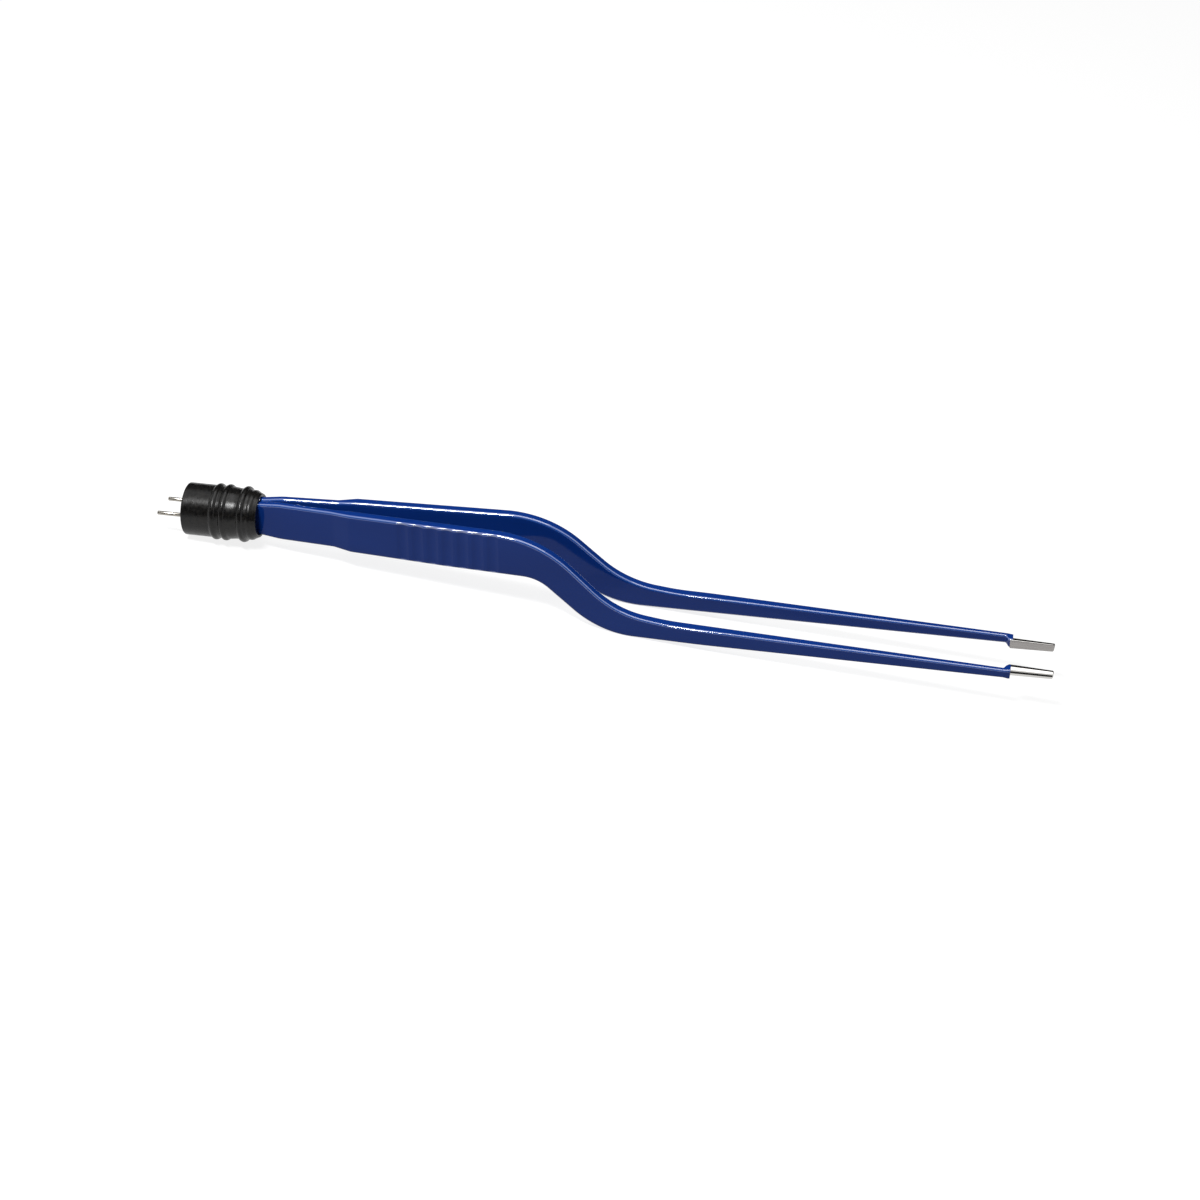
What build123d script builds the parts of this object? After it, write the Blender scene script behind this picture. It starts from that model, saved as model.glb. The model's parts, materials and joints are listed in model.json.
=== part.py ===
from build123d import *
from math import asin, atan2, cos, hypot, radians, sin, tan
import os

# Bayonet bipolar forceps: two sprung steel tines in a blue coat, held in a black two-pin plug.
# Handle axes: x runs forward from the plug's rear rim, y to the left tine, z up, across the grip.
# The forceps rest on the plug's rear rim and on the undersides of the two bends.

# Plug, outside
plug_length = 18.9
sleeve_radius = 6.5
sleeve_wall = 0.5
rim_round = 0.25
bead_height = 0.5
bead_half_width = 1.1
bead_places = {"rear": 7.9, "middle": 10.4, "front": 15.0}
waist_radius = 6.3
collar_place = 17.2
collar_radius = 6.05
mouth_radius = 5.6
taper_start = 15.4
ring_radius = 0.45
ring_rise = 0.1

# Plug, inside
rear_recess = 0.4
plate_thickness = 2.0
cavity_length = 7.4
cavity_wall = 0.6
fit_gap = 0.02
slot_width = 4.7
slot_height = 9.2
slot_corner = 0.8
seal_length = 2.2
mouth_recess = 0.3

# Contact pins, ferrules and leads
pin_radius = 0.5
pin_tail_radius = 0.3
pin_relief = 0.2
pin_spacing = 8.0
pin_clocking = 5.0
pin_reach = 6.7
pin_tail = 5.2
pin_end_chamfer = 0.2
ferrule_start = 3.4
ferrule_length = 3.8
ferrule_wall = 0.3
lead_radius = 0.3
lead_room = 0.42
lead_end = 5.9
lead_turn = 8.3
lead_turn_radius = 0.6
solder_place = 7.3
solder_radius = 0.85
solder_film = 0.12

# Tine roots
spacer_thickness = 0.9
root_gap = 0.05
spacer_ease = 0.3
root_thickness = 1.25
root_start = 6.2
tang_height = 7.0
tang_end = 14.6
cross_pin_place = 12.4
cross_pin_radius = 0.8
cross_pin_ease = 0.15
cross_pin_length = 11.2

# Tine seen from the side: height of the top and bottom edges at each corner
tang_half_height = 3.6
blade_start = 24.0
blade_half_height = 4.65
shoulder_start = 38.0
shoulder_end = 42.5
grip_top = 4.92
grip_bottom = -4.95
grip_belly = -5.38
belly_place = 66.0
bend_top = (90.1, 4.85)
bend_bottom = (89.9, -5.38)
elbow_top = (109.2, -12.75)
elbow_bottom = (105.4, -18.3)
shaft_turn = (122.0, -14.45)
shaft_top_end = -16.95
shaft_bottom_end = -18.5
bend_top_radius = 27.0
bend_bottom_radius = 10.0
elbow_top_radius = 24.0
elbow_bottom_radius = 23.0
gentle_radius = 60.0
root_radius = 15.0

# Tine seen from above: distance of the inner and outer faces from the middle plane
inner_grip = (43.0, 2.1)
inner_waist = (79.0, 3.85)
inner_elbow = (110.0, 5.9)
neck_start = 200.6
pad_length = 1.4
pad_setback = 0.4
inner_neck = 7.05
outer_blade = 3.0
outer_grip = 4.1
outer_waist = (85.0, 6.2)
outer_elbow = (110.0, 7.75)
outer_shaft = (130.0, 8.25)
outer_neck = 7.85
bow_radius = 150.0
step_radius = 3.0
neck_radius = 1.5

# Bare tips
tip_start = 204.5
tip_length = 10.0
tip_inner = 5.1
tip_spread = 0.26
tip_height = 2.3
tip_end_height = 1.75
tip_thickness = 1.9
tip_end_thickness = 1.1
tip_level = -18.0
tip_end_level = -18.15
tip_corner = 0.35

# Coat and grip grooves
coat = 0.35
coat_start = 16.6
steel_edge_round = 0.3
coat_edge_round = 0.5
groove_first = 56.1
groove_pitch = 3.78
groove_count = 7
groove_depth = 0.35
groove_radius = 1.2

# Rest position: the floor touches the rear rim and the bends
bend_floor_radius = elbow_bottom_radius + coat
bend_turn = atan2(bend_bottom[1] - elbow_bottom[1], elbow_bottom[0] - bend_bottom[0])
bend_centre = (elbow_bottom[0] + elbow_bottom_radius * tan(bend_turn / 2),
               elbow_bottom[1] + elbow_bottom_radius)
rim_to_bend = hypot(bend_centre[0], bend_centre[1] + sleeve_radius)
tilt = asin(bend_floor_radius / rim_to_bend) - atan2(bend_centre[1] + sleeve_radius, bend_centre[0])
tip_end = tip_start + tip_length
rear_x = -pin_reach * cos(tilt)
front_x = tip_end * cos(tilt) - tip_end_level * sin(tilt)
os.makedirs("parts", exist_ok=True)
handle_direction = Vector(cos(tilt), 0, sin(tilt))
handle_up = Vector(-sin(tilt), 0, cos(tilt))
handle_origin = Vector(-(rear_x + front_x) / 2, 0, sleeve_radius * cos(tilt))
side = Plane(handle_origin, x_dir=handle_direction, z_dir=(0, -1, 0))
above = Plane(handle_origin, x_dir=handle_direction, z_dir=handle_up)
plug_axis = Axis(handle_origin, handle_direction)
reach = 40.0

# Faces of the tine root and of the pad under the end of the coat
inner_root = spacer_thickness / 2 + root_gap
outer_root = inner_root + root_thickness
pad_inner = tip_inner + pad_setback


def station(x):
    """Plane across the handle at x, with its own x to the left and its own y up."""
    return Plane(handle_origin + handle_direction * x, x_dir=(0, 1, 0), z_dir=handle_direction)


def blade_body(grow, start, end, rounding):
    """One tine from start to end, seen from the side and from above, thickened by grow."""
    with BuildPart() as body:
        with BuildSketch(side):
            with BuildLine():
                top = FilletPolyline(
                    (tang_end, tang_half_height), (blade_start, blade_half_height),
                    (shoulder_start, blade_half_height), (shoulder_end, grip_top), bend_top,
                    elbow_top, shaft_turn, (neck_start, shaft_top_end), (tip_start, shaft_top_end),
                    radius=[root_radius, step_radius, step_radius, bend_top_radius,
                            elbow_top_radius, gentle_radius, step_radius])
                bottom = FilletPolyline(
                    (tang_end, -tang_half_height), (blade_start, -blade_half_height),
                    (shoulder_start, -blade_half_height), (shoulder_end, grip_bottom),
                    (belly_place, grip_belly), bend_bottom, elbow_bottom,
                    (neck_start, shaft_bottom_end), (tip_start, shaft_bottom_end),
                    radius=[root_radius, step_radius, step_radius, gentle_radius,
                            bend_bottom_radius, elbow_bottom_radius, step_radius])
                Line(top @ 0, bottom @ 0)
                Line(top @ 1, bottom @ 1)
            make_face()
            offset(amount=grow)
        extrude(amount=reach, both=True)
        with BuildSketch(above):
            with BuildLine():
                inner = FilletPolyline(
                    (tang_end, inner_root), (plug_length, inner_root), inner_grip, inner_waist,
                    inner_elbow, (neck_start, inner_neck), (tip_start - pad_length, pad_inner),
                    (tip_start, pad_inner),
                    radius=[gentle_radius, bow_radius, bow_radius, bow_radius, neck_radius, neck_radius])
                outer = FilletPolyline(
                    (tang_end, outer_root), (plug_length, outer_root), (shoulder_start, outer_blade),
                    (shoulder_end, outer_grip), outer_waist, outer_elbow, outer_shaft,
                    (neck_start, outer_neck), (tip_start, tip_inner + tip_thickness),
                    radius=[gentle_radius, step_radius, step_radius, bow_radius, bow_radius,
                            bow_radius, step_radius])
                Line(inner @ 0, outer @ 0)
                Line(inner @ 1, outer @ 1)
            make_face()
            offset(amount=grow)
        extrude(amount=reach, both=True, mode=Mode.INTERSECT)
        with BuildSketch(station(start)):
            Rectangle(2 * reach, 2 * reach)
        extrude(amount=end - start, mode=Mode.INTERSECT)
        long_edges = body.edges().filter_by(
            lambda edge: abs(edge.tangent_at(0.5).dot(handle_direction)) > 0.6)
        fillet(long_edges, radius=rounding)
    return body.part


def cut_grooves(body, thickness):
    """The shallow grooves across the outer face of the grip, under a coat of this thickness."""
    slope = (outer_waist[1] - outer_grip) / (outer_waist[0] - shoulder_end)
    with BuildPart() as grooved:
        add(body)
        with BuildSketch(above):
            for number in range(groove_count):
                x = groove_first + number * groove_pitch
                face = outer_grip + slope * (x - shoulder_end)
                with Locations((x, face - groove_depth + groove_radius)):
                    Circle(groove_radius - thickness)
        extrude(amount=reach, both=True, mode=Mode.SUBTRACT)
    return grooved.part


def tip_section(x, inner, height, thickness, level):
    """Section of the bare tip: a flat inner face and a rounded back."""
    with BuildSketch(station(x)) as section:
        with BuildLine():
            back = EllipticalCenterArc((inner, level), thickness, height / 2, start_angle=-90, arc_size=180)
            Line(back @ 0, back @ 1)
        make_face()
    return section.sketch


# Steel tines: root, grip, bayonet bend, shaft and bare tip are one piece
root_middle = (inner_root + outer_root) / 2
steel_blade = cut_grooves(blade_body(0, tang_end, tip_start, steel_edge_round), 0)
with BuildPart() as left_tine:
    add(steel_blade)
    with BuildSketch(station(root_start)):
        with Locations((root_middle, 0)):
            Rectangle(root_thickness, tang_height)
    extrude(amount=tang_end - root_start)
    with BuildSketch(side):
        with Locations((cross_pin_place, 0)):
            Circle(cross_pin_radius + cross_pin_ease)
    extrude(amount=reach, both=True, mode=Mode.SUBTRACT)
    loft([tip_section(tip_start, tip_inner, tip_height, tip_thickness, tip_level),
          tip_section(tip_end, tip_inner + tip_spread, tip_end_height, tip_end_thickness, tip_end_level)])
    end_corners = left_tine.edges().group_by(Axis(handle_origin, handle_direction))[-1]
    fillet(end_corners, radius=tip_corner)
left_tine.part.label = "left_tine"
export_step(left_tine.part, "parts/left_tine.step")

with BuildPart() as right_tine:
    mirror(left_tine.part, about=Plane.XZ)
right_tine.part.label = "right_tine"
export_step(right_tine.part, "parts/right_tine.step")

# Insulation: the coat on each tine, open at the root and at the bare tip
with BuildPart() as left_insulation:
    add(cut_grooves(blade_body(coat, coat_start, tip_start, coat_edge_round), coat))
    add(steel_blade, mode=Mode.SUBTRACT)
left_insulation.part.label = "left_insulation"
export_step(left_insulation.part, "parts/left_insulation.step")

with BuildPart() as right_insulation:
    mirror(left_insulation.part, about=Plane.XZ)
right_insulation.part.label = "right_insulation"
export_step(right_insulation.part, "parts/right_insulation.step")

# Sleeve: the black skin of the plug, drawn over the grip rings
core_radius = sleeve_radius - sleeve_wall
ring_centre_radius = core_radius + ring_rise
mouth_bore = mouth_radius - sleeve_wall
with BuildPart() as shrink_sleeve:
    with BuildSketch(side):
        with BuildLine():
            rear, middle, front = (bead_places[name] for name in ("rear", "middle", "front"))
            Polyline((0, core_radius), (0, sleeve_radius - rim_round), (rim_round, sleeve_radius),
                     (rear - bead_half_width, sleeve_radius))
            ThreePointArc((rear - bead_half_width, sleeve_radius), (rear, sleeve_radius + bead_height),
                          (rear + bead_half_width, sleeve_radius))
            Line((rear + bead_half_width, sleeve_radius), (middle - bead_half_width, sleeve_radius))
            ThreePointArc((middle - bead_half_width, sleeve_radius), (middle, sleeve_radius + bead_height),
                          (middle + bead_half_width, sleeve_radius))
            Line((middle + bead_half_width, sleeve_radius), (front - bead_half_width, waist_radius))
            ThreePointArc((front - bead_half_width, waist_radius), (front, sleeve_radius + bead_height),
                          (front + bead_half_width, waist_radius))
            ThreePointArc((front + bead_half_width, waist_radius), (collar_place, collar_radius),
                          (plug_length, mouth_radius))
            Polyline((plug_length, mouth_radius), (plug_length, mouth_bore), (taper_start, core_radius),
                     (0, core_radius))
        make_face()
        with Locations([(place, ring_centre_radius) for place in bead_places.values()]):
            Circle(ring_radius + fit_gap, mode=Mode.SUBTRACT)
    revolve(axis=plug_axis)
shrink_sleeve.part.label = "shrink_sleeve"
export_step(shrink_sleeve.part, "parts/shrink_sleeve.step")

# Grip rings under the sleeve
for ring_name, ring_place in bead_places.items():
    with BuildPart() as grip_ring:
        with BuildSketch(side):
            with Locations((ring_place, ring_centre_radius)):
                Circle(ring_radius)
        revolve(axis=plug_axis)
    grip_ring.part.label = ring_name + "_grip_ring"
    export_step(grip_ring.part, f"parts/{ring_name}_grip_ring.step")

# Plug housing: cavity for the pin connections behind, one slot for both roots in front
housing_start = rear_recess + plate_thickness
housing_end = plug_length - seal_length
housing_radius = core_radius - fit_gap
taper = (core_radius - mouth_bore) / (plug_length - taper_start)
housing_front_radius = housing_radius - taper * (housing_end - taper_start)
cavity_end = housing_start + cavity_length
with BuildPart() as plug_housing:
    with BuildSketch(side):
        with BuildLine():
            Polyline((housing_start, 0), (housing_start, housing_radius), (taper_start, housing_radius),
                     (housing_end, housing_front_radius), (housing_end, 0), close=True)
        make_face()
        with Locations([(place, ring_centre_radius) for place in bead_places.values()]):
            Circle(ring_radius + fit_gap, mode=Mode.SUBTRACT)
    revolve(axis=plug_axis)
    with BuildSketch(station(housing_start)):
        Circle(housing_radius - cavity_wall)
    extrude(amount=cavity_length, mode=Mode.SUBTRACT)
    with BuildSketch(station(cavity_end)):
        RectangleRounded(slot_width, slot_height, slot_corner)
    extrude(amount=reach, mode=Mode.SUBTRACT)
    with BuildSketch(side):
        with Locations((cross_pin_place, 0)):
            Circle(cross_pin_radius + fit_gap)
    extrude(amount=reach, both=True, mode=Mode.SUBTRACT)
plug_housing.part.label = "plug_housing"
export_step(plug_housing.part, "parts/plug_housing.step")

# Mouth seal: fills the front of the sleeve round the two coated roots
seal_end = plug_length - mouth_recess
with BuildPart() as mouth_seal:
    with BuildSketch(side):
        with BuildLine():
            Polyline((housing_end, 0), (housing_end, housing_front_radius),
                     (seal_end, housing_front_radius - taper * (seal_end - housing_end)), (seal_end, 0),
                     close=True)
        make_face()
    revolve(axis=plug_axis)
    with BuildSketch(station(housing_end)):
        RectangleRounded(slot_width, slot_height, slot_corner)
    extrude(amount=reach, mode=Mode.SUBTRACT)
mouth_seal.part.label = "mouth_seal"
export_step(mouth_seal.part, "parts/mouth_seal.step")

# Rear plate: carries the two contact pins
pin_place = (pin_spacing / 2 * cos(radians(pin_clocking)), -pin_spacing / 2 * sin(radians(pin_clocking)))
pin_places = [pin_place, (-pin_place[0], -pin_place[1])]
with BuildPart() as rear_plate:
    with BuildSketch(station(rear_recess)):
        Circle(housing_radius)
        with Locations(pin_places):
            Circle(pin_tail_radius + fit_gap, mode=Mode.SUBTRACT)
    extrude(amount=plate_thickness)
rear_plate.part.label = "rear_plate"
export_step(rear_plate.part, "parts/rear_plate.step")

# Root spacer: keeps the two roots apart
with BuildPart() as root_spacer:
    with BuildSketch(station(root_start)):
        Rectangle(spacer_thickness, tang_height)
    extrude(amount=coat_start - spacer_ease - root_start)
    with BuildSketch(side):
        with Locations((cross_pin_place, 0)):
            Circle(cross_pin_radius + fit_gap)
    extrude(amount=reach, both=True, mode=Mode.SUBTRACT)
root_spacer.part.label = "root_spacer"
export_step(root_spacer.part, "parts/root_spacer.step")

# Cross pin: holds both roots and the spacer in the housing
with BuildPart() as cross_pin:
    with BuildSketch(side):
        with Locations((cross_pin_place, 0)):
            Circle(cross_pin_radius)
    extrude(amount=cross_pin_length / 2, both=True)
cross_pin.part.label = "cross_pin"
export_step(cross_pin.part, "parts/cross_pin.step")

# Contact pins and the ferrules crimped on their inner ends
lead_bore = lead_radius + lead_room
for side_name, place in zip(("left", "right"), pin_places):
    with BuildPart() as contact_pin:
        with BuildSketch(station(-pin_reach)):
            with Locations(place):
                Circle(pin_radius)
        extrude(amount=pin_reach + rear_recess - pin_relief)
        with BuildSketch(station(rear_recess - pin_relief)):
            with Locations(place):
                Circle(pin_tail_radius)
        extrude(amount=pin_tail + pin_relief - rear_recess)
        chamfer(contact_pin.faces().sort_by(plug_axis)[0].edges(), length=pin_end_chamfer)
    contact_pin.part.label = side_name + "_contact_pin"
    export_step(contact_pin.part, f"parts/{side_name}_contact_pin.step")

    with BuildPart() as ferrule:
        with BuildSketch(station(ferrule_start)):
            with Locations(place):
                Circle(lead_bore + ferrule_wall)
                Circle(pin_tail_radius + fit_gap, mode=Mode.SUBTRACT)
        extrude(amount=ferrule_length)
        with BuildSketch(station(pin_tail + fit_gap)):
            with Locations(place):
                Circle(lead_bore)
        extrude(amount=reach, mode=Mode.SUBTRACT)
    ferrule.part.label = side_name + "_ferrule"
    export_step(ferrule.part, f"parts/{side_name}_ferrule.step")

# Leads: from the ferrule forward, in to the root and back along it to the solder joint
lead_level = pin_place[1]
lead_rest = outer_root + lead_radius + solder_film
lead_plane = above.offset(lead_level)
solder_centre = lead_plane.from_local_coords((solder_place, outer_root, 0))
with BuildPart() as left_lead:
    with BuildLine(lead_plane) as lead_route:
        FilletPolyline((lead_end, pin_place[0]), (lead_turn, pin_place[0]), (lead_turn, lead_rest),
                       (solder_place - solder_radius, lead_rest), radius=lead_turn_radius)
    with BuildSketch(Plane(lead_route.line @ 0, z_dir=lead_route.line % 0)):
        Circle(lead_radius)
    sweep()
left_lead.part.label = "left_lead"
export_step(left_lead.part, "parts/left_lead.step")

with BuildPart() as right_lead:
    add(left_lead.part.rotate(plug_axis, 180))
right_lead.part.label = "right_lead"
export_step(right_lead.part, "parts/right_lead.step")

with BuildPart() as left_solder_joint:
    with Locations(solder_centre):
        Sphere(solder_radius)
    with BuildSketch(side.offset(-outer_root)):
        with Locations((solder_place, lead_level)):
            Rectangle(reach, reach)
    extrude(amount=reach, mode=Mode.SUBTRACT)
    with BuildSketch(station(solder_place)):
        with Locations((lead_rest, lead_level)):
            Circle(lead_radius + fit_gap)
    extrude(amount=reach, both=True, mode=Mode.SUBTRACT)
left_solder_joint.part.label = "left_solder_joint"
export_step(left_solder_joint.part, "parts/left_solder_joint.step")

with BuildPart() as right_solder_joint:
    add(left_solder_joint.part.rotate(plug_axis, 180))
right_solder_joint.part.label = "right_solder_joint"
export_step(right_solder_joint.part, "parts/right_solder_joint.step")
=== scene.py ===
import bpy
import json
from bisect import bisect_left
from math import atan2, cos, pi, radians, sin, sqrt, tan
from mathutils import Euler, Matrix, Vector


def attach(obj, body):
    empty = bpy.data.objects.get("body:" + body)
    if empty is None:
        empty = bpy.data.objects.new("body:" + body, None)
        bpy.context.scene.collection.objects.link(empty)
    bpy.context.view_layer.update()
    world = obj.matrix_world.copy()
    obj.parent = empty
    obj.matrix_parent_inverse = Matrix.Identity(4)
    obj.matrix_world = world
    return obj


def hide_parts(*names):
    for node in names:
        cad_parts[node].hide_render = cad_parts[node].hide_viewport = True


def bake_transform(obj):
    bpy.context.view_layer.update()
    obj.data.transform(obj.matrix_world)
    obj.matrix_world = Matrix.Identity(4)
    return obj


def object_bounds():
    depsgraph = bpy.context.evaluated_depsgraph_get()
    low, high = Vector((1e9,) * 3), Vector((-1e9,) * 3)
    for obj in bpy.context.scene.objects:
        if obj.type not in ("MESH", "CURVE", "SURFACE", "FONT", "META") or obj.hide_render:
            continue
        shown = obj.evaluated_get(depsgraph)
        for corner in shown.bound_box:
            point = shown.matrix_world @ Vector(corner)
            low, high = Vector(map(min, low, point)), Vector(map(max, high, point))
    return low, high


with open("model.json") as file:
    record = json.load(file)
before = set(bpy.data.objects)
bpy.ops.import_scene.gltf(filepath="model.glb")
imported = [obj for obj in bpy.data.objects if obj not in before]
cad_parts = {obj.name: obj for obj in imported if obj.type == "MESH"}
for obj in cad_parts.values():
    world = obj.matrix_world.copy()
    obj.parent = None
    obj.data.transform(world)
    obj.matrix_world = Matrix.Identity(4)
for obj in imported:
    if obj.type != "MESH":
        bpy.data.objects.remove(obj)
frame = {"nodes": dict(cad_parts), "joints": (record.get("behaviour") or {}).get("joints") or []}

cad_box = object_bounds()

# The handle's own axes, in millimetres: x runs forward from the plug's rear rim, y to the left
# tine, z up across the grip. The two flex joints stand at the plug's mouth, along the height.
MM = 0.001
plug_length = 18.9
flex = next(joint for joint in frame["joints"] if joint["child"] == "left_arm")
mouth = Vector(flex["pos_m"])
handle_up = -Vector(flex["axis"]).normalized()
handle_forward = Vector((handle_up.z, 0, -handle_up.x))
handle_tilt = atan2(handle_forward.z, handle_forward.x)


def place(x, y, z):
    """A point given in the handle's axes, in metres in the shared frame."""
    return mouth + (handle_forward * (x - plug_length) + Vector((0, y, 0)) + handle_up * z) * MM


# The camera stands in front of the tips, to the right and above, and looks back along the handle.
camera_data = bpy.data.cameras.new("camera")
camera_data.sensor_width = 36.0
camera_data.lens = 72.0
camera = bpy.data.objects.new("camera", camera_data)
camera_turn = Euler((radians(56.45), radians(-0.18), radians(10.66)))
camera.matrix_world = (Matrix.Translation(place(193.8, -482.3, 311.0))
                       @ Matrix.Rotation(-handle_tilt, 4, "Y") @ camera_turn.to_matrix().to_4x4())
bpy.context.scene.collection.objects.link(camera)
bpy.context.scene.camera = camera

# The studio: a white floor, an even pale surround, a soft lamp overhead and a strip lamp high in
# front, which draws a line of light along each rounded edge. Two dark cards, out of the camera's
# sight, give the gloss of the coat and the steel something to show.
view = bpy.context.scene.view_settings
view.view_transform = "Standard"
floor_size = 3.0
floor_colour = (0.26, 0.26, 0.26, 1.0)
floor_lift = 0.84
surround_colour = (1.0, 1.0, 1.0, 1.0)
surround_level = 0.25
card_colour = (0.012, 0.012, 0.013, 1.0)
card_width, card_height = 2.4, 0.95
front_card_place, back_card_place = -0.6, 0.6


def new_material(name):
    """A material with its nodes, its links and its main shader."""
    material = bpy.data.materials.new(name)
    material.use_nodes = True
    tree = material.node_tree
    return material, tree.nodes, tree.links, tree.nodes["Principled BSDF"]


def add_piece(name, points, faces):
    """A smooth mesh object at the origin, with its points in the shared frame."""
    mesh = bpy.data.meshes.new(name)
    mesh.from_pydata(points, [], faces)
    mesh.polygons.foreach_set("use_smooth", [True] * len(mesh.polygons))
    piece = bpy.data.objects.new(name, mesh)
    bpy.context.scene.collection.objects.link(piece)
    return piece


def seen_level(nodes, links, unseen, seen):
    """A level that is different where a surface is seen, directly or in gloss or through glass."""
    light_path = nodes.new("ShaderNodeLightPath")
    either = nodes.new("ShaderNodeMath")
    either.operation = "MAXIMUM"
    any_of_them = nodes.new("ShaderNodeMath")
    any_of_them.operation = "MAXIMUM"
    level = nodes.new("ShaderNodeMapRange")
    level.inputs["To Min"].default_value = unseen
    level.inputs["To Max"].default_value = seen
    links.new(light_path.outputs["Is Camera Ray"], either.inputs[0])
    links.new(light_path.outputs["Is Glossy Ray"], either.inputs[1])
    links.new(either.outputs[0], any_of_them.inputs[0])
    links.new(light_path.outputs["Is Transmission Ray"], any_of_them.inputs[1])
    links.new(any_of_them.outputs[0], level.inputs["Value"])
    return level.outputs["Result"]


def add_softbox(name, position, target, width, depth, power):
    """A rectangular lamp at a place in metres, turned towards a target."""
    lamp = bpy.data.lights.new(name, "AREA")
    lamp.shape = "RECTANGLE"
    lamp.size, lamp.size_y = width, depth
    lamp.energy = power
    softbox = bpy.data.objects.new(name, lamp)
    softbox.location = position
    softbox.rotation_euler = (Vector(target) - Vector(position)).to_track_quat("-Z", "Y").to_euler()
    bpy.context.scene.collection.objects.link(softbox)


half = floor_size / 2
level = cad_box[0].z
floor = add_piece("floor", [(-half, -half, level), (half, -half, level), (half, half, level),
                            (-half, half, level)], [(0, 1, 2, 3)])
floor_material, nodes, links, shader = new_material("white_floor")
shader.inputs["Base Color"].default_value = floor_colour
shader.inputs["Roughness"].default_value = 0.9
shader.inputs["Specular IOR Level"].default_value = 0.0
shader.inputs["Emission Color"].default_value = (1.0, 1.0, 1.0, 1.0)
links.new(seen_level(nodes, links, 0.0, floor_lift), shader.inputs["Emission Strength"])
floor.data.materials.append(floor_material)

card_material, nodes, links, shader = new_material("dark_card")
shader.inputs["Base Color"].default_value = card_colour
shader.inputs["Roughness"].default_value = 0.9
for name, across in (("front_card", front_card_place), ("back_card", back_card_place)):
    card = add_piece(name, [(-card_width / 2, across, level), (card_width / 2, across, level),
                            (card_width / 2, across, level + card_height),
                            (-card_width / 2, across, level + card_height)], [(0, 1, 2, 3)])
    card.data.materials.append(card_material)
    card.visible_camera = False
    card.visible_shadow = False

world = bpy.data.worlds.new("surround")
world.use_nodes = True
background = world.node_tree.nodes["Background"]
background.inputs["Color"].default_value = surround_colour
world.node_tree.links.new(seen_level(world.node_tree.nodes, world.node_tree.links, surround_level, 1.0),
                          background.inputs["Strength"])
bpy.context.scene.world = world

add_softbox("front_strip", (-0.22, -0.36, 0.72), (-0.03, 0.0, 0.0), 0.26, 0.10, 5.6)
add_softbox("overhead_lamp", (0.0, 0.14, 0.75), (0.0, 0.0, 0.0), 0.6, 0.5, 1.6)

# Tines seen from the side and from above. Each is one blade of stainless steel, forged flat at the
# grip, cranked like a bayonet and drawn down to a slim shaft, and the coat follows its outline.
coat_thickness = 0.35
coat_start = 16.6
coat_end = 204.5
tang_half_height = 3.6
blade_start, blade_half_height = 24.0, 4.65
shoulder_start, shoulder_end = 38.0, 42.5
grip_top, grip_bottom = 4.92, -4.95
grip_belly = (66.0, -5.38)
bend_top, bend_bottom = (90.1, 4.85), (89.9, -5.38)
elbow_top, elbow_bottom = (109.2, -12.75), (105.4, -18.3)
shaft_turn = (122.0, -14.45)
neck_start = 203.0
shaft_top_end, shaft_bottom_end = -16.95, -18.5
inner_root, outer_root = 0.5, 1.75
tip_inner, tip_thickness = 5.1, 2.3
coat_setback = 0.4
pad_length = 0.7
pad_bottom = -18.85
steel_edge = 0.3


def rounded_line(corners, radii, step=0.25):
    """Points along a line through the corners, with an arc of its own radius at each inner one."""
    points = [Vector(corners[0])]
    for before, corner, after, radius in zip(corners, corners[1:], corners[2:], radii):
        corner = Vector(corner)
        back = (Vector(before) - corner).normalized()
        ahead = (Vector(after) - corner).normalized()
        half_angle = back.angle(ahead) / 2
        middle = corner + (back + ahead).normalized() * radius / sin(half_angle)
        first = corner + back * radius / tan(half_angle) - middle
        last = corner + ahead * radius / tan(half_angle) - middle
        turn = first.angle(last)
        count = max(2, round(radius * turn / step))
        for number in range(count + 1):
            share = number / count
            arm = first * sin((1 - share) * turn) / sin(turn) + last * sin(share * turn) / sin(turn)
            points.append(middle + arm)
    points.append(Vector(corners[-1]))
    return points


def moved_out(line, distance):
    """The same line, moved sideways to its left by a distance."""
    moved = []
    for number, point in enumerate(line):
        along = (line[min(number + 1, len(line) - 1)] - line[max(number - 1, 0)]).normalized()
        moved.append(point + Vector((-along.y, along.x)) * distance)
    return moved


def across_at(line, x):
    """Second coordinate of a line at x."""
    after = min(max(bisect_left([point.x for point in line], x), 1), len(line) - 1)
    first, second = line[after - 1], line[after]
    return first.y + (second.y - first.y) * (x - first.x) / (second.x - first.x)


side_top = rounded_line(
    [(6.0, tang_half_height), (14.6, tang_half_height), (blade_start, blade_half_height),
     (shoulder_start, blade_half_height), (shoulder_end, grip_top), bend_top, elbow_top, shaft_turn,
     (neck_start, shaft_top_end), (coat_end + 2.0, shaft_top_end)],
    [8.0, 15.0, 3.0, 3.0, 27.0, 24.0, 60.0, 3.0])
side_bottom = rounded_line(
    [(6.0, -tang_half_height), (14.6, -tang_half_height), (blade_start, -blade_half_height),
     (shoulder_start, -blade_half_height), (shoulder_end, grip_bottom), grip_belly, bend_bottom,
     elbow_bottom, (neck_start, shaft_bottom_end), (coat_end - 0.5, pad_bottom),
     (coat_end + 2.0, pad_bottom)],
    [8.0, 15.0, 3.0, 3.0, 60.0, 10.0, 23.0, 2.0, 1.5])
side_middle = rounded_line(
    [(6.0, 0.0), (66.0, 0.0), (90.0, -0.3), (107.3, -15.4), (122.0, -16.4), (coat_end + 2.0, -17.72)],
    [200.0, 18.0, 24.0, 60.0], step=0.5)
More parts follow.
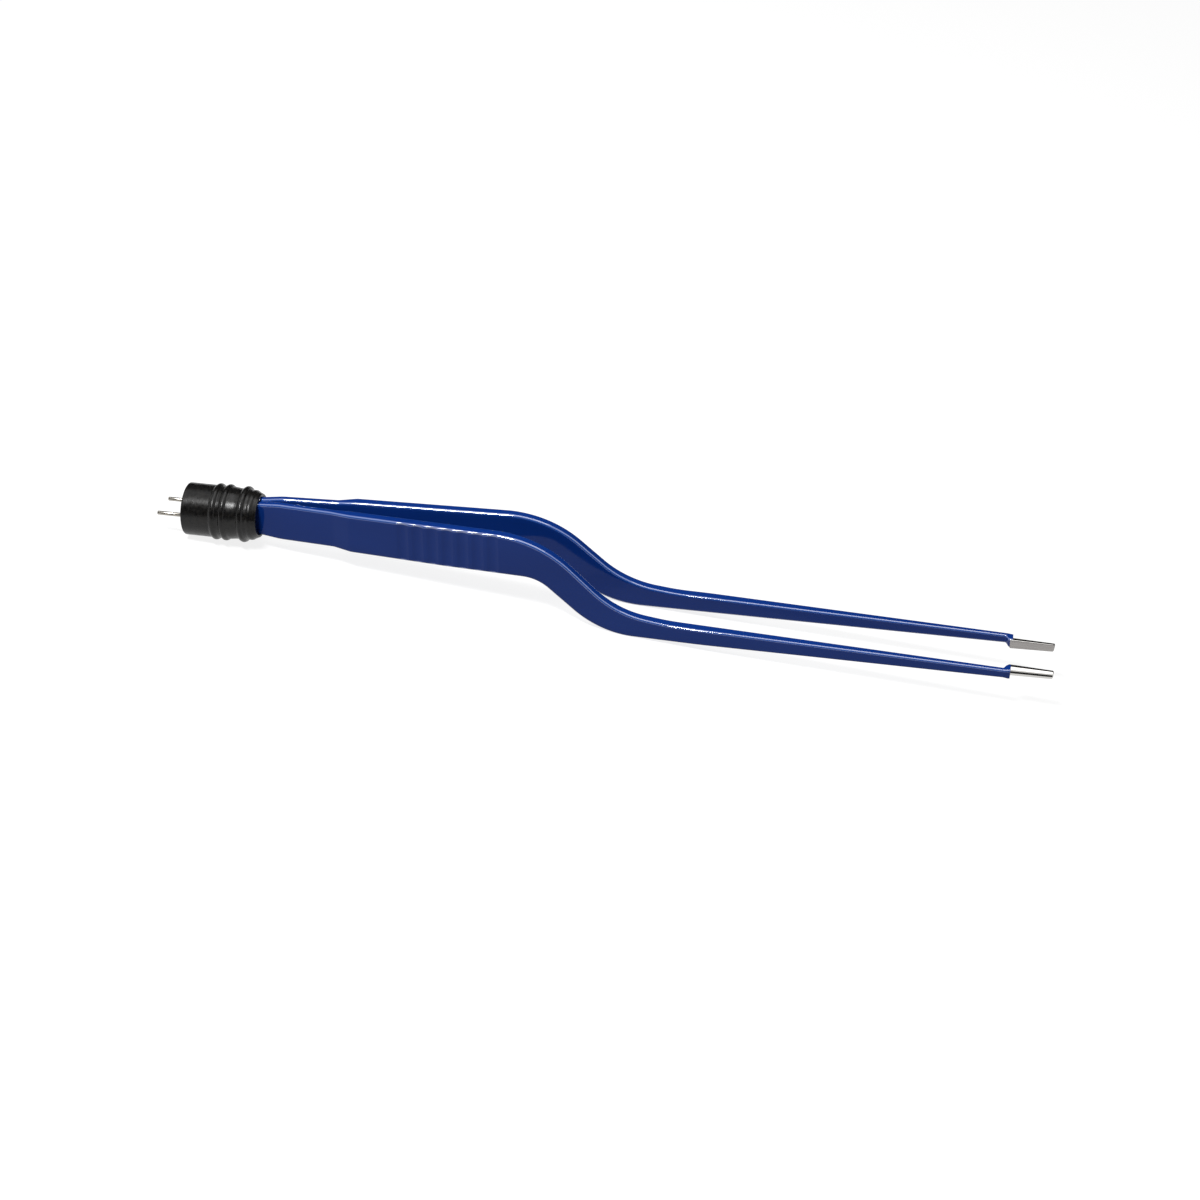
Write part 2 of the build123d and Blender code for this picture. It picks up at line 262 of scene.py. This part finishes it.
plan_inner = rounded_line(
    [(6.0, inner_root), (plug_length, inner_root), (43.0, 2.1), (79.0, 3.85), (110.0, 5.9),
     (neck_start, 7.05), (coat_end - pad_length, tip_inner + coat_setback),
     (coat_end + 2.0, tip_inner + coat_setback)],
    [60.0, 150.0, 150.0, 150.0, 0.5, 0.5])
plan_outer = rounded_line(
    [(6.0, outer_root), (plug_length, outer_root), (shoulder_start, 3.0), (shoulder_end, 4.1),
     (85.0, 6.2), (110.0, 7.75), (130.0, 8.25), (neck_start, 7.85), (coat_end + 2.0, 7.15)],
    [60.0, 3.0, 3.0, 150.0, 150.0, 150.0, 3.0])


def crossing(line, middle, along, up):
    """Where a line meets the station through a middle point, as a height above that point."""
    best = None
    for first, second in zip(line, line[1:]):
        before, after = (first - middle).dot(along), (second - middle).dot(along)
        if before <= 0 < after:
            point = first + (second - first) * before / (before - after)
            height = (point - middle).dot(up)
            if best is None or abs(height) < abs(best):
                best = height
    return best


def blade_stations(start, end, step_at):
    """Stations along the blade's middle line, given as their middle points."""
    stations = []
    run = 0.0
    wanted = None
    for first, second in zip(side_middle, side_middle[1:]):
        length = (second - first).length
        along = (second - first).normalized()
        if wanted is None:
            wanted = start - side_middle[0].x
        while wanted <= run + length:
            middle = first + along * (wanted - run)
            if middle.x > end:
                return stations
            stations.append(middle)
            wanted += step_at(middle.x)
        run += length
    return stations


def blade_ring(middle, along, grow, rounding):
    """The blade's section at a station, thickened by grow, as points in the handle's axes."""
    up = Vector((-along.y, along.x))
    top = crossing(moved_side[grow][0], middle, along, up)
    bottom = crossing(moved_side[grow][1], middle, along, up)
    ring = []
    corner_steps = 6
    face_steps = 8
    heights = [(bottom + rounding) + (top - bottom - 2 * rounding) * n / face_steps
               for n in range(face_steps + 1)]
    edges = []
    for n in range(corner_steps + 1):
        turn = pi / 2 * n / corner_steps
        edges.append((rounding * (1 - cos(turn)), rounding * (1 - sin(turn))))
    outline = [("outer", 0.0, height) for height in heights]
    outline += [("outer", inset, top - drop) for inset, drop in edges[1:]]
    outline += [("inner", inset, top - drop) for inset, drop in reversed(edges)]
    outline += [("inner", 0.0, height) for height in reversed(heights[:-1])]
    outline += [("inner", inset, bottom + drop) for inset, drop in edges[1:]]
    outline += [("outer", inset, bottom + drop) for inset, drop in reversed(edges[1:])]
    for face, inset, height in outline:
        point = middle + up * height
        if face == "outer":
            across = across_at(moved_plan[grow][1], point.x) - inset
        else:
            across = across_at(moved_plan[grow][0], point.x) + inset
        ring.append((point.x, across, point.y))
    return ring


# Edge mask of a blade ring, highest half-way round each rounded corner: it places the painted highlight on
# the coat's edges and raises the coat's gloss there.
ring_highlight_edges = [0.0] * 9 + [sin(pi * n / 6) for n in range(1, 7)] + [sin(pi * n / 6) for n in range(7)]
ring_highlight_edges += [0.0] * 8 + [sin(pi * n / 6) for n in range(1, 7)] + [sin(pi * n / 6) for n in range(1, 7)]
moved_side = {grow: (moved_out(side_top, grow), moved_out(side_bottom, -grow))
              for grow in (0.0, coat_thickness)}
moved_plan = {grow: (moved_out(plan_inner, -grow), moved_out(plan_outer, grow))
              for grow in (0.0, coat_thickness)}
middle_directions = [((second - first).normalized(), first.x)
                     for first, second in zip(side_middle, side_middle[1:])]


def direction_at(x):
    """Direction of the blade's middle line at x, smoothed over a millimetre."""
    total = Vector((0.0, 0.0))
    for shift in (-1.0, -0.5, 0.0, 0.5, 1.0):
        after = min(max(bisect_left([start for _, start in middle_directions], x + shift) - 1, 0),
                    len(middle_directions) - 1)
        total += middle_directions[after][0]
    return total.normalized()


def joined(rings, loop):
    """Faces between rings of equal length, closed round, and from last to first for a loop."""
    size = len(rings[0])
    faces = []
    last = len(rings) if loop else len(rings) - 1
    for row in range(last):
        after = (row + 1) % len(rings)
        for column in range(size):
            beside = (column + 1) % size
            faces.append((row * size + column, row * size + beside, after * size + beside,
                          after * size + column))
    return faces


def set_attribute(piece, name, values):
    """Stores one number for each point of a piece."""
    attribute = piece.data.attributes.new(name, "FLOAT", "POINT")
    attribute.data.foreach_set("value", values)


def mirrored(piece, name):
    """The right-hand copy of a left-hand piece."""
    mesh = piece.data.copy()
    mesh.name = name
    mesh.transform(Matrix.Scale(-1, 4, (0, 1, 0)))
    mesh.flip_normals()
    copy = bpy.data.objects.new(name, mesh)
    bpy.context.scene.collection.objects.link(copy)
    return copy


# Insulation: a glossy blue nylon coat, dipped over each tine and left off at the bare tip. Seven
# shallow grooves run across the outer face of the grip.
groove_first, groove_pitch, groove_count = 56.1, 3.78, 7
groove_width, groove_depth = 2.9, 0.33
coat_edge, shaft_edge = 0.65, 0.5
edge_change_start, edge_change_run = 90.0, 40.0


def coat_step(x):
    """Distance to the next section: short across the grooves, the bends and the end."""
    if groove_first - 2 < x < groove_first + groove_pitch * groove_count or x > neck_start - 1:
        return 0.14
    return 0.5 if 36 < x < 125 else 0.8


def edge_at(x, thin, thick):
    """Edge rounding, growing from the grip to the shaft."""
    share = min(max((x - edge_change_start) / edge_change_run, 0), 1)
    return thin + (thick - thin) * share * share * (3 - 2 * share)


outer_rings = []
for middle in blade_stations(coat_start, coat_end, coat_step):
    outer_rings.append(blade_ring(middle, direction_at(middle.x), coat_thickness,
                                  edge_at(middle.x, coat_edge, shaft_edge)))
inner_rings = []
for middle in blade_stations(coat_start, coat_end, lambda x: 1.5):
    inner_rings.append(blade_ring(middle, direction_at(middle.x), 0.0, steel_edge))
coat_rings = outer_rings + inner_rings[::-1]
coat_points = [point for ring in coat_rings for point in ring]
left_coat = add_piece("left_coat", [place(*point) for point in coat_points],
                      joined(coat_rings, loop=True))
set_attribute(left_coat, "along", [point[0] for point in coat_points])
# The edge mask carries the painted highlight along the coat's rounded edges.
set_attribute(left_coat, "edge", ring_highlight_edges * len(coat_rings))
set_attribute(left_coat, "outer_face",
              [across_at(moved_plan[coat_thickness][1], point[0]) for point in coat_points])

groove_tree = bpy.data.node_groups.new("grip_grooves", "GeometryNodeTree")
tree_inputs = {"First": groove_first, "Pitch": groove_pitch, "Count": float(groove_count),
               "Width": groove_width, "Depth": groove_depth}
groove_tree.interface.new_socket("Geometry", in_out="INPUT", socket_type="NodeSocketGeometry")
for label in tree_inputs:
    groove_tree.interface.new_socket(label, in_out="INPUT", socket_type="NodeSocketFloat")
groove_tree.interface.new_socket("Coat", in_out="INPUT", socket_type="NodeSocketMaterial")
groove_tree.interface.new_socket("Geometry", in_out="OUTPUT", socket_type="NodeSocketGeometry")


def tree_math(tree, operation, *values):
    """A math node whose inputs are numbers or the outputs of other nodes."""
    node = tree.nodes.new("ShaderNodeMath")
    node.operation = operation
    for socket, value in zip(node.inputs, values):
        if isinstance(value, (int, float)):
            socket.default_value = value
        else:
            tree.links.new(value, socket)
    return node.outputs[0]


tree_in = groove_tree.nodes.new("NodeGroupInput")
tree_out = groove_tree.nodes.new("NodeGroupOutput")
along = groove_tree.nodes.new("GeometryNodeInputNamedAttribute")
along.data_type = "FLOAT"
along.inputs["Name"].default_value = "along"
outer_face = groove_tree.nodes.new("GeometryNodeInputNamedAttribute")
outer_face.data_type = "FLOAT"
outer_face.inputs["Name"].default_value = "outer_face"
steps = tree_math(groove_tree, "DIVIDE",
                  tree_math(groove_tree, "SUBTRACT", along.outputs["Attribute"], tree_in.outputs["First"]),
                  tree_in.outputs["Pitch"])
last_groove = tree_math(groove_tree, "SUBTRACT", tree_in.outputs["Count"], 1.0)
nearest = tree_math(groove_tree, "MINIMUM",
                    tree_math(groove_tree, "MAXIMUM", tree_math(groove_tree, "ROUND", steps), 0.0),
                    last_groove)
away = tree_math(groove_tree, "MULTIPLY",
                 tree_math(groove_tree, "ABSOLUTE", tree_math(groove_tree, "SUBTRACT", steps, nearest)),
                 tree_in.outputs["Pitch"])
half_widths = tree_math(groove_tree, "DIVIDE", away,
                        tree_math(groove_tree, "MULTIPLY", tree_in.outputs["Width"], 0.5))
hollow = tree_math(groove_tree, "SUBTRACT", 1.0,
                   tree_math(groove_tree, "MULTIPLY", half_widths, half_widths))
cut = tree_math(groove_tree, "MULTIPLY", tree_math(groove_tree, "SMOOTH_MAX", hollow, 0.0, 0.3),
                tree_in.outputs["Depth"])
floor_of_groove = tree_math(groove_tree, "MULTIPLY",
                            tree_math(groove_tree, "SUBTRACT", outer_face.outputs["Attribute"], cut), MM)
position = groove_tree.nodes.new("GeometryNodeInputPosition")
split = groove_tree.nodes.new("ShaderNodeSeparateXYZ")
groove_tree.links.new(position.outputs[0], split.inputs[0])
lowered = tree_math(groove_tree, "SMOOTH_MIN", split.outputs["Y"], floor_of_groove, 0.00008)
joined_up = groove_tree.nodes.new("ShaderNodeCombineXYZ")
groove_tree.links.new(split.outputs["X"], joined_up.inputs["X"])
groove_tree.links.new(lowered, joined_up.inputs["Y"])
groove_tree.links.new(split.outputs["Z"], joined_up.inputs["Z"])
in_reach = groove_tree.nodes.new("FunctionNodeCompare")
in_reach.data_type = "FLOAT"
in_reach.operation = "LESS_THAN"
groove_tree.links.new(half_widths, in_reach.inputs[0])
in_reach.inputs[1].default_value = 1.4
set_place = groove_tree.nodes.new("GeometryNodeSetPosition")
groove_tree.links.new(tree_in.outputs["Geometry"], set_place.inputs["Geometry"])
groove_tree.links.new(in_reach.outputs[0], set_place.inputs["Selection"])
groove_tree.links.new(joined_up.outputs[0], set_place.inputs["Position"])
realize = groove_tree.nodes.new("GeometryNodeRealizeInstances")
set_finish = groove_tree.nodes.new("GeometryNodeSetMaterial")
groove_tree.links.new(set_place.outputs[0], realize.inputs[0])
groove_tree.links.new(realize.outputs[0], set_finish.inputs["Geometry"])
groove_tree.links.new(tree_in.outputs["Coat"], set_finish.inputs["Material"])
groove_tree.links.new(set_finish.outputs[0], tree_out.inputs[0])


def noise_group(name, detail):
    """A node group of drifting noise in object coordinates, with a mask from 0 to 1."""
    group = bpy.data.node_groups.new(name, "ShaderNodeTree")
    group.interface.new_socket("Scale", in_out="INPUT", socket_type="NodeSocketFloat")
    group.interface.new_socket("Stretch", in_out="INPUT", socket_type="NodeSocketFloat")
    group.interface.new_socket("Low", in_out="INPUT", socket_type="NodeSocketFloat")
    group.interface.new_socket("High", in_out="INPUT", socket_type="NodeSocketFloat")
    group.interface.new_socket("Mask", in_out="OUTPUT", socket_type="NodeSocketFloat")
    group_in = group.nodes.new("NodeGroupInput")
    group_out = group.nodes.new("NodeGroupOutput")
    coordinates = group.nodes.new("ShaderNodeTexCoord")
    turned = group.nodes.new("ShaderNodeMapping")
    turned.inputs["Rotation"].default_value = (0.0, handle_tilt, 0.0)
    stretched = group.nodes.new("ShaderNodeVectorMath")
    stretched.operation = "MULTIPLY"
    factors = group.nodes.new("ShaderNodeCombineXYZ")
    factors.inputs["Y"].default_value = 1.0
    factors.inputs["Z"].default_value = 1.0
    noise = group.nodes.new("ShaderNodeTexNoise")
    noise.inputs["Detail"].default_value = detail
    spread = group.nodes.new("ShaderNodeMapRange")
    spread.clamp = True
    group.links.new(coordinates.outputs["Object"], turned.inputs["Vector"])
    group.links.new(turned.outputs[0], stretched.inputs[0])
    group.links.new(group_in.outputs["Stretch"], factors.inputs["X"])
    group.links.new(factors.outputs[0], stretched.inputs[1])
    group.links.new(stretched.outputs[0], noise.inputs["Vector"])
    group.links.new(group_in.outputs["Scale"], noise.inputs["Scale"])
    group.links.new(noise.outputs["Fac"], spread.inputs["Value"])
    group.links.new(group_in.outputs["Low"], spread.inputs["From Min"])
    group.links.new(group_in.outputs["High"], spread.inputs["From Max"])
    group.links.new(spread.outputs["Result"], group_out.inputs["Mask"])
    return group


surface_drift = noise_group("surface_drift", 3.0)


def add_drift(nodes, scale, stretch=1.0, low=0.3, high=0.7):
    """Places the drift group in a material and gives its mask."""
    node = nodes.new("ShaderNodeGroup")
    node.node_tree = surface_drift
    node.inputs["Scale"].default_value = scale
    node.inputs["Stretch"].default_value = stretch
    node.inputs["Low"].default_value = low
    node.inputs["High"].default_value = high
    return node.outputs["Mask"]


def mix_colours(nodes, links, mask, first, second):
    """A mix of two colours by a mask."""
    mix = nodes.new("ShaderNodeMix")
    mix.data_type = "RGBA"
    mix.inputs["A"].default_value = (*first, 1.0)
    mix.inputs["B"].default_value = (*second, 1.0)
    links.new(mask, mix.inputs["Factor"])
    return mix.outputs["Result"]


def spread_over(nodes, links, mask, low, high):
    """A mask turned into a number between low and high."""
    spread = nodes.new("ShaderNodeMapRange")
    spread.inputs["To Min"].default_value = low
    spread.inputs["To Max"].default_value = high
    links.new(mask, spread.inputs["Value"])
    return spread.outputs["Result"]


def add_bump(nodes, links, shader, height, depth):
    """Raises a surface by a height mask, over a depth in millimetres."""
    bump = nodes.new("ShaderNodeBump")
    bump.inputs["Distance"].default_value = depth * MM
    bump.inputs["Strength"].default_value = 1.0
    links.new(height, bump.inputs["Height"])
    links.new(bump.outputs["Normal"], shader.inputs["Normal"])


glossy_nylon, nodes, links, shader = new_material("glossy_nylon")
flat_tone = mix_colours(nodes, links, add_drift(nodes, 90.0, 0.3),
                        (0.004, 0.031, 0.205), (0.005, 0.037, 0.235))
# Half-way round each rounded edge the blue is painted lighter, towards a pale blue: a painted highlight along
# the edges. The same mask raises the coat and the specular level there.
painted_edge_highlight = nodes.new("ShaderNodeMix")
painted_edge_highlight.data_type = "RGBA"
painted_edge_highlight.inputs["B"].default_value = (0.03, 0.15, 0.60, 1.0)
edge_highlight_mask = nodes.new("ShaderNodeAttribute")
edge_highlight_mask.attribute_name = "edge"
links.new(spread_over(nodes, links, edge_highlight_mask.outputs["Fac"], 0.0, 0.5), painted_edge_highlight.inputs["Factor"])
links.new(flat_tone, painted_edge_highlight.inputs["A"])
links.new(painted_edge_highlight.outputs["Result"], shader.inputs["Base Color"])
links.new(spread_over(nodes, links, add_drift(nodes, 400.0), 0.06, 0.11), shader.inputs["Roughness"])
links.new(edge_highlight_mask.outputs["Fac"], shader.inputs["Coat Weight"])
shader.inputs["Coat Roughness"].default_value = 0.02
shader.inputs["Coat IOR"].default_value = 2.5
shader.inputs["IOR"].default_value = 1.5
links.new(spread_over(nodes, links, edge_highlight_mask.outputs["Fac"], 0.14, 0.9),
          shader.inputs["Specular IOR Level"])
add_bump(nodes, links, shader, add_drift(nodes, 700.0, low=0.2, high=0.8), 0.002)

filed = left_coat.modifiers.new("grooves", "NODES")
filed.node_group = groove_tree
for socket in groove_tree.interface.items_tree:
    if socket.in_out == "INPUT" and socket.name in tree_inputs:
        filed[socket.identifier] = tree_inputs[socket.name]
    elif socket.in_out == "INPUT" and socket.name == "Coat":
        filed[socket.identifier] = glossy_nylon
finished = left_coat.evaluated_get(bpy.context.evaluated_depsgraph_get())
grooved_mesh = bpy.data.meshes.new_from_object(finished)
left_coat.modifiers.remove(filed)
left_coat.data = grooved_mesh
right_coat = mirrored(left_coat, "right_coat")
for coat, side in ((left_coat, "left"), (right_coat, "right")):
    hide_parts(f"{side}_insulation")
    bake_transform(coat)

# Steel tines: each blade runs inside its coat from the plug to the bare tip. The tip has a flat
# satin face that grips, a polished rounded back and a softened end.
tip_length = 10.0
tip_height, tip_end_height = 2.4, 2.0
tip_end_thickness = 1.7
tip_spread = 0.26
tip_level, tip_end_level = -17.9, -18.0
tip_edge = 0.12
tip_end_round = 0.35
tip_slant = 0.25
tip_back_points = 30
tip_rows, tip_end_rows = 24, 6
tip_body = 0.9
root_start = 6.2


def tip_ring(share, shrink):
    """Section of the bare tip: flat inner face, rounded back, as many points as a blade ring."""
    half_height = (tip_height + (tip_end_height - tip_height) * share) / 2 - shrink
    thickness = tip_thickness + (tip_end_thickness - tip_thickness) * share - 2 * shrink
    inner = tip_inner + tip_spread * share + shrink
    level = tip_level + (tip_end_level - tip_level) * share
    x = coat_end + tip_length * share
    back = tip_back_points
    face = len(outer_rings[0]) - back
    ring = []
    for n in range(back):
        turn = -pi / 2 + pi * n / (back - 1)
        ring.append((inner + tip_edge + (thickness - tip_edge) * cos(turn), half_height * sin(turn)))
    for n in range(face):
        height = half_height - tip_edge * 0.6 - (2 * half_height - 1.2 * tip_edge) * n / (face - 1)
        ring.append((inner, height))
    return [(x + tip_slant * share * height / tip_end_height, across, level + height)
            for across, height in ring]


tine_rings = []
for middle in blade_stations(root_start, coat_end - 1.2, lambda x: 1.0):
    tine_rings.append(blade_ring(middle, direction_at(middle.x), 0.0, steel_edge))
tip_lead = 0.06
tine_rings += [tip_ring(-tip_lead + (tip_lead + tip_body) * n / tip_rows, 0.0) for n in range(tip_rows + 1)]
for n in range(1, tip_end_rows + 1):
    turn = pi / 2 * n / (tip_end_rows + 1)
    reach = (tip_length * (1 - tip_body) - tip_end_round + tip_end_round * sin(turn)) / tip_length
    tine_rings.append(tip_ring(tip_body + reach, tip_end_round * (1 - cos(turn))))
tine_points = [point for ring in tine_rings for point in ring]
size = len(tine_rings[0])
tine_faces = joined(tine_rings, loop=False)
tine_faces.append(tuple(reversed(range(size))))
tine_faces.append(tuple(range(len(tine_points) - size, len(tine_points))))
left_steel = add_piece("left_steel", [place(*point) for point in tine_points], tine_faces)
grip_face = []
for ring in tine_rings:
    for number in range(size):
        grip_face.append(1.0 if number >= tip_back_points and ring[0][0] > coat_end - 1 else 0.0)
set_attribute(left_steel, "grip_face", grip_face)

tip_steel, nodes, links, shader = new_material("tip_steel")
face_mask = nodes.new("ShaderNodeAttribute")
face_mask.attribute_name = "grip_face"
brushed = add_drift(nodes, 3000.0, 0.05, 0.25, 0.75)
face_tone = mix_colours(nodes, links, brushed, (0.31, 0.295, 0.285), (0.37, 0.355, 0.345))
back_tone = mix_colours(nodes, links, brushed, (0.52, 0.51, 0.49), (0.58, 0.57, 0.55))
steel_tone = nodes.new("ShaderNodeMix")
steel_tone.data_type = "RGBA"
links.new(face_mask.outputs["Fac"], steel_tone.inputs["Factor"])
links.new(back_tone, steel_tone.inputs["A"])
links.new(face_tone, steel_tone.inputs["B"])
links.new(steel_tone.outputs["Result"], shader.inputs["Base Color"])
shader.inputs["Metallic"].default_value = 1.0
links.new(spread_over(nodes, links, face_mask.outputs["Fac"], 0.06, 0.45), shader.inputs["Roughness"])
scored = nodes.new("ShaderNodeMath")
scored.operation = "MULTIPLY"
links.new(brushed, scored.inputs[0])
links.new(face_mask.outputs["Fac"], scored.inputs[1])
add_bump(nodes, links, shader, scored.outputs[0], 0.002)
left_steel.data.materials.append(tip_steel)
right_steel = mirrored(left_steel, "right_steel")
for tine, side in ((left_steel, "left"), (right_steel, "right")):
    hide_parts(f"{side}_tine")
    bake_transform(tine)

# Plug sleeve: black heat-shrink tubing drawn tight over the housing and its three grip rings, so
# that it bulges at each ring and draws in towards the mouth. It has a fine mottled grain.
sleeve_radius, sleeve_wall = 6.5, 0.5
beads = ((7.9, 0.5), (10.4, 0.5), (15.0, 0.7), (17.15, 0.22))
bead_round, bead_foot = 0.85, 0.25
bead_half_width = 0.9
waist_start, waist_run, waist_radius = 11.2, 2.4, 6.28
collar_place, collar_radius = 17.2, 5.95
mouth_radius = 5.3
rim_round = 0.25
taper_start = 15.4


def sleeve_outside(x):
    """Outer radius of the sleeve at x: a cylinder that draws in, with a soft bulge at each bead."""
    draw = min(max((x - waist_start) / waist_run, 0), 1)
    base = sleeve_radius + (waist_radius - sleeve_radius) * draw * draw * (3 - 2 * draw)
    if x > collar_place:
        share = (x - collar_place) / (plug_length - collar_place)
        base = collar_radius + (mouth_radius - collar_radius) * share ** 1.5
    elif x > bead_half_width + beads[2][0]:
        share = (x - bead_half_width - beads[2][0]) / (collar_place - bead_half_width - beads[2][0])
        base = base + (collar_radius - base) * share
    bulge = 0.0
    for centre, height in beads:
        away = min(abs(x - centre), bead_round)
        arc = sqrt(bead_round ** 2 - away ** 2) - (bead_round - height)
        blend = max(bead_foot - abs(arc), 0.0) / bead_foot
        bulge += max(arc, 0.0) + blend * blend * bead_foot / 4
    return base + bulge


def turned(name, profile, segments, loop, centre=(0.0, 0.0)):
    """A piece turned about an axis along the handle, from (x, radius) points, closed at both ends."""
    rings = []
    for x, radius in profile:
        rings.append([(x, centre[0] + radius * cos(2 * pi * n / segments),
                       centre[1] + radius * sin(2 * pi * n / segments)) for n in range(segments)])
    points = [place(*point) for ring in rings for point in ring]
    faces = joined(rings, loop)
    if not loop:
        faces += [tuple(reversed(range(segments))), tuple(range(len(points) - segments, len(points)))]
    return add_piece(name, points, faces)


profile = []
for n in range(7):
    turn = pi / 2 * n / 6
    profile.append((rim_round * (1 - sin(turn)), sleeve_radius - rim_round * (1 - cos(turn))))
profile.reverse()
sleeve_step = 0.12
steps_along = round((plug_length - 0.15 - rim_round) / sleeve_step)
profile += [(rim_round + n * sleeve_step, sleeve_outside(rim_round + n * sleeve_step))
            for n in range(1, steps_along)]
lip = profile[-1]
for n in range(1, 7):
    turn = pi / 2 * n / 6
    profile.append((lip[0] + 0.2 * sin(turn), lip[1] - 0.2 * (1 - cos(turn))))
profile += [(plug_length, mouth_radius - sleeve_wall), (taper_start, sleeve_radius - sleeve_wall),
            (0.0, sleeve_radius - sleeve_wall)]
sleeve = turned("sleeve", profile, 144, loop=True)

shrunk_tubing, nodes, links, shader = new_material("shrunk_tubing")
mottle = add_drift(nodes, 1500.0, 1.0, 0.35, 0.68)
links.new(mix_colours(nodes, links, mottle, (0.002, 0.002, 0.0025), (0.010, 0.009, 0.008)),
          shader.inputs["Base Color"])
links.new(spread_over(nodes, links, add_drift(nodes, 900.0), 0.22, 0.36), shader.inputs["Roughness"])
shader.inputs["Specular IOR Level"].default_value = 0.3
add_bump(nodes, links, shader, mottle, 0.008)
sleeve.data.materials.append(shrunk_tubing)
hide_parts("shrink_sleeve")
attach(sleeve, "plug")


# Contact pins: two turned steel pins with domed ends, pressed into the rear plate. Each has a short
# relief where it enters the plate, and a thinner tail behind it.
pin_radius, pin_tail_radius = 0.5, 0.3
pin_reach, pin_tail = 6.7, 5.2
pin_relief_start = 0.2
pin_dome = 0.3
pin_spacing, pin_clocking = 8.0, 5.0
pin_profile = [(-pin_reach + pin_dome * (1 - cos(pi / 2 * n / 8)),
                pin_radius - pin_dome + pin_dome * sin(pi / 2 * n / 8)) for n in range(9)]
pin_profile += [(pin_relief_start - 0.04, pin_radius), (pin_relief_start, pin_radius - 0.04),
                (pin_relief_start, pin_tail_radius), (pin_tail - 0.05, pin_tail_radius),
                (pin_tail, pin_tail_radius - 0.05)]

turned_steel, nodes, links, shader = new_material("turned_steel")
turning = add_drift(nodes, 5000.0, 3.0, 0.3, 0.7)
links.new(mix_colours(nodes, links, turning, (0.31, 0.29, 0.26), (0.40, 0.38, 0.34)),
          shader.inputs["Base Color"])
shader.inputs["Metallic"].default_value = 1.0
links.new(spread_over(nodes, links, turning, 0.16, 0.26), shader.inputs["Roughness"])
add_bump(nodes, links, shader, turning, 0.001)

for side, sign in (("left", 1), ("right", -1)):
    centre = (sign * pin_spacing / 2 * cos(radians(pin_clocking)),
              -sign * pin_spacing / 2 * sin(radians(pin_clocking)))
    pin = turned(f"{side}_pin", pin_profile, 40, loop=False, centre=centre)
    pin.data.materials.append(turned_steel)
    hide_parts(f"{side}_contact_pin")
    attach(pin, "plug")


def dress(finish, *names):
    """Gives CAD nodes their finish."""
    for name in names:
        for slot in frame["nodes"][name].material_slots:
            slot.material = finish


def plain_finish(name, first, second, scale, roughness, bump_depth, metallic=0.0):
    """A moulded, cast or drawn finish: two tones that drift, with their own roughness and relief."""
    finish, nodes, links, shader = new_material(name)
    drift = add_drift(nodes, scale)
    links.new(mix_colours(nodes, links, drift, first, second), shader.inputs["Base Color"])
    links.new(spread_over(nodes, links, drift, *roughness), shader.inputs["Roughness"])
    shader.inputs["Metallic"].default_value = metallic
    add_bump(nodes, links, shader, drift, bump_depth)
    return finish


# Mouth seal and rear plate: the seal is matt black potting that closes the mouth round both roots,
# a little behind the lip, and the plate is black moulded plastic that carries the pins.
seal_back, seal_front, seal_radius, seal_dip = 15.6, 18.1, 5.0, 0.4
seal_core, seal_rows = 0.02, 8
seal_profile = [(seal_back, seal_core), (seal_back, seal_radius), (seal_front, seal_radius)]
seal_profile += [(seal_front - seal_dip * (1 - (n / seal_rows) ** 2), seal_radius * n / seal_rows + seal_core)
                 for n in range(seal_rows - 1, -1, -1)]
seal = turned("seal", seal_profile, 64, loop=False)
seal.data.materials.append(plain_finish("matt_potting", (0.008, 0.008, 0.008), (0.016, 0.016, 0.016),
                                        1200.0, (0.55, 0.75), 0.03))
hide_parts("mouth_seal")
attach(seal, "plug")
dress(plain_finish("black_plastic", (0.012, 0.012, 0.013), (0.020, 0.020, 0.021),
                   2500.0, (0.40, 0.55), 0.008), "rear_plate", "plug_housing")

# Grip rings: three rubber rings on the housing, under the sleeve.
dress(plain_finish("moulded_rubber", (0.010, 0.010, 0.010), (0.018, 0.018, 0.018), 1800.0, (0.6, 0.8), 0.01),
      "rear_grip_ring", "middle_grip_ring", "front_grip_ring")

# Root spacer and cross pin: natural nylon, so that the two live tines never touch inside the plug.
dress(plain_finish("natural_nylon", (0.62, 0.58, 0.48), (0.70, 0.67, 0.57), 900.0, (0.45, 0.6), 0.01),
      "root_spacer", "cross_pin")

# Ferrules, leads and solder joints: brass crimped on the pins' tails, tinned copper wire from there
# to each root, and a bead of solder where it ends.
dress(plain_finish("crimped_brass", (0.62, 0.43, 0.16), (0.72, 0.53, 0.23), 2200.0, (0.25, 0.4), 0.01, 1.0),
      "left_ferrule", "right_ferrule")
dress(plain_finish("tinned_copper", (0.70, 0.42, 0.27), (0.78, 0.58, 0.45), 3000.0, (0.25, 0.4), 0.01, 1.0),
      "left_lead", "right_lead")
dress(plain_finish("set_solder", (0.52, 0.52, 0.53), (0.64, 0.64, 0.65), 1500.0, (0.2, 0.4), 0.02, 1.0),
      "left_solder_joint", "right_solder_joint")
